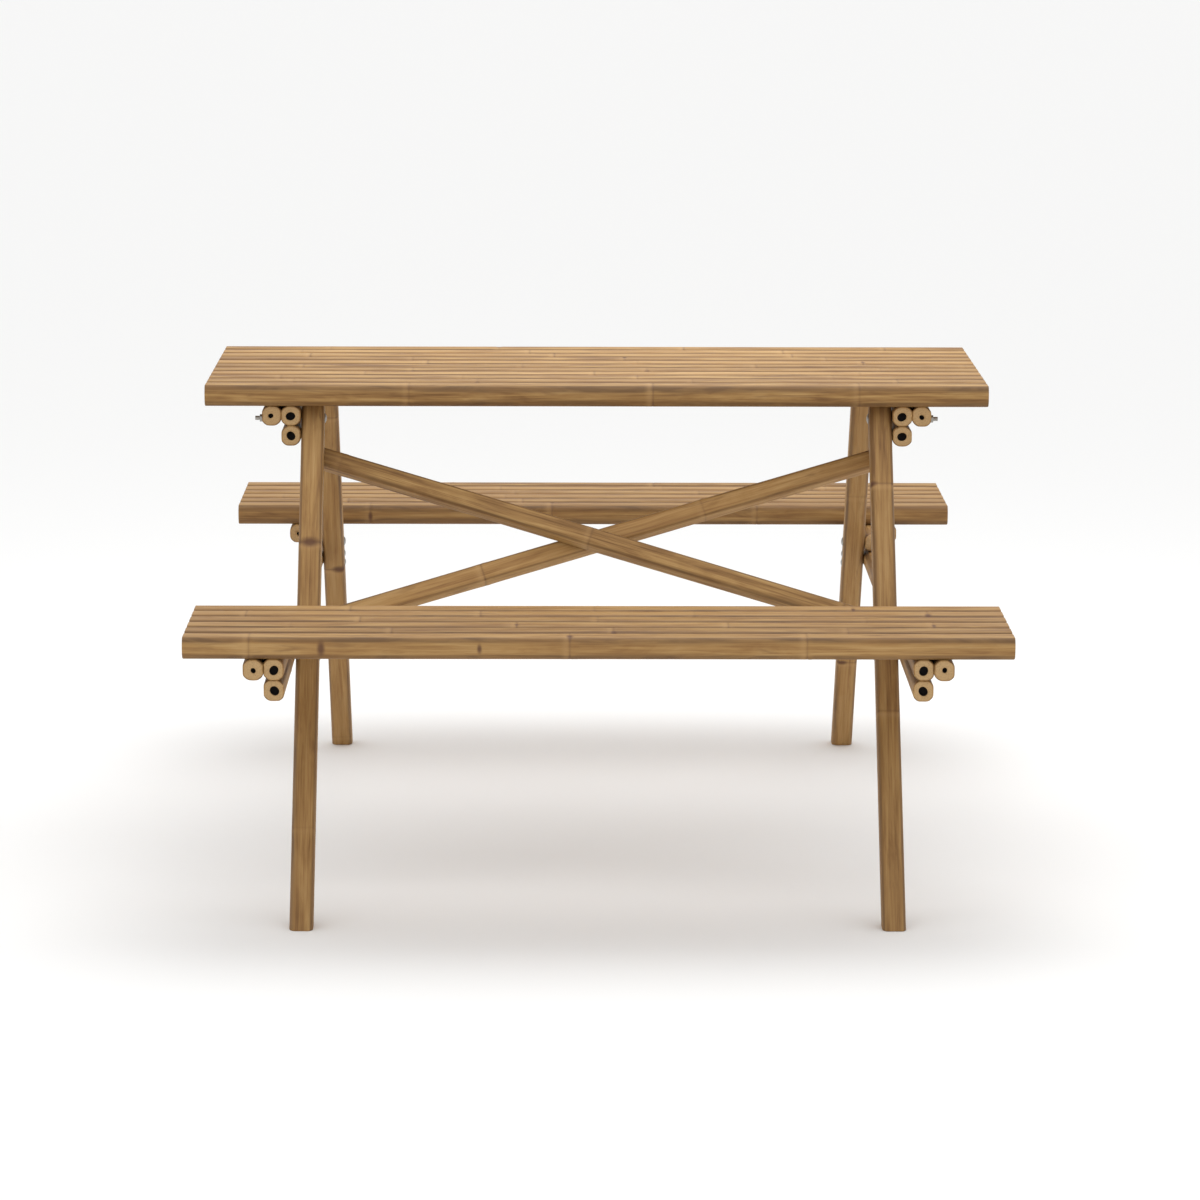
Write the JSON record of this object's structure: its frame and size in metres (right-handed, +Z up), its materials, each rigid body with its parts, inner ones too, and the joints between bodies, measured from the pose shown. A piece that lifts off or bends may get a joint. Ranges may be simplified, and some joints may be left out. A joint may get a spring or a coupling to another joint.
{
  "type": "folding picnic table",
  "caption": "Slatted bamboo picnic table with two benches; the raked leg pairs swing in and the benches swing up.",
  "frame": {"origin": "on the floor, under the middle of the tabletop", "axes": "+X along the slats to the right, -Y towards the front bench, +Z up"},
  "size_m": [1.2, 1.412, 0.75],
  "materials": {
    "bamboo": "oiled, planed bamboo",
    "zinc_steel": "zinc plated"
  },
  "bodies": {
    "top": {"leg_pivot_bolts": "zinc_steel", "leg_pivot_nuts": "zinc_steel", "top_batten_left": "bamboo", "top_batten_right": "bamboo", "top_lower_rail_left": "bamboo", "top_lower_rail_right": "bamboo", "top_rail_left": "bamboo", "top_rail_right": "bamboo", "top_slat_01": "bamboo", "top_slat_02": "bamboo", "top_slat_03": "bamboo", "top_slat_04": "bamboo", "top_slat_05": "bamboo", "top_slat_06": "bamboo", "top_slat_07": "bamboo", "top_slat_08": "bamboo", "top_slat_09": "bamboo", "top_slat_10": "bamboo", "top_slat_11": "bamboo", "top_slat_screws": "zinc_steel"},
    "front_legs": {"brace_back": "bamboo", "brace_bolts": "zinc_steel", "brace_front": "bamboo", "brace_spacers": "bamboo", "front_bench_bracket_left": "bamboo", "front_bench_bracket_right": "bamboo", "front_bracket_bolts": "zinc_steel", "front_leg_left": "bamboo", "front_leg_right": "bamboo"},
    "rear_legs": {"rear_bench_bracket_left": "bamboo", "rear_bench_bracket_right": "bamboo", "rear_bracket_bolts": "zinc_steel", "rear_leg_left": "bamboo", "rear_leg_right": "bamboo"},
    "front_bench": {"front_bench_batten_left": "bamboo", "front_bench_batten_right": "bamboo", "front_bench_pivot_bolts": "zinc_steel", "front_bench_rail_left": "bamboo", "front_bench_rail_right": "bamboo", "front_bench_slat_1": "bamboo", "front_bench_slat_2": "bamboo", "front_bench_slat_3": "bamboo", "front_bench_slat_4": "bamboo", "front_bench_slat_5": "bamboo", "front_bench_slat_6": "bamboo", "front_bench_slat_screws": "zinc_steel"},
    "rear_bench": {"rear_bench_batten_left": "bamboo", "rear_bench_batten_right": "bamboo", "rear_bench_pivot_bolts": "zinc_steel", "rear_bench_rail_left": "bamboo", "rear_bench_rail_right": "bamboo", "rear_bench_slat_1": "bamboo", "rear_bench_slat_2": "bamboo", "rear_bench_slat_3": "bamboo", "rear_bench_slat_4": "bamboo", "rear_bench_slat_5": "bamboo", "rear_bench_slat_6": "bamboo", "rear_bench_slat_screws": "zinc_steel"}
  },
  "joints": [
    {"name": "front_leg_fold", "type": "hinge", "parent": "top", "child": "front_legs", "pos_m": [0, -0.195, 0.694], "axis": [1, 0, 0], "range_deg": [0, 30]},
    {"name": "rear_leg_fold", "type": "hinge", "parent": "top", "child": "rear_legs", "pos_m": [0, 0.195, 0.694], "axis": [-1, 0, 0], "range_deg": [0, 30]},
    {"name": "front_bench_fold", "type": "hinge", "parent": "front_legs", "child": "front_bench", "pos_m": [0, -0.37918, 0.4015], "axis": [-1, 0, 0], "range_deg": [0, 70]},
    {"name": "rear_bench_fold", "type": "hinge", "parent": "rear_legs", "child": "rear_bench", "pos_m": [0, 0.37918, 0.4015], "axis": [1, 0, 0], "range_deg": [0, 70]}
  ]
}
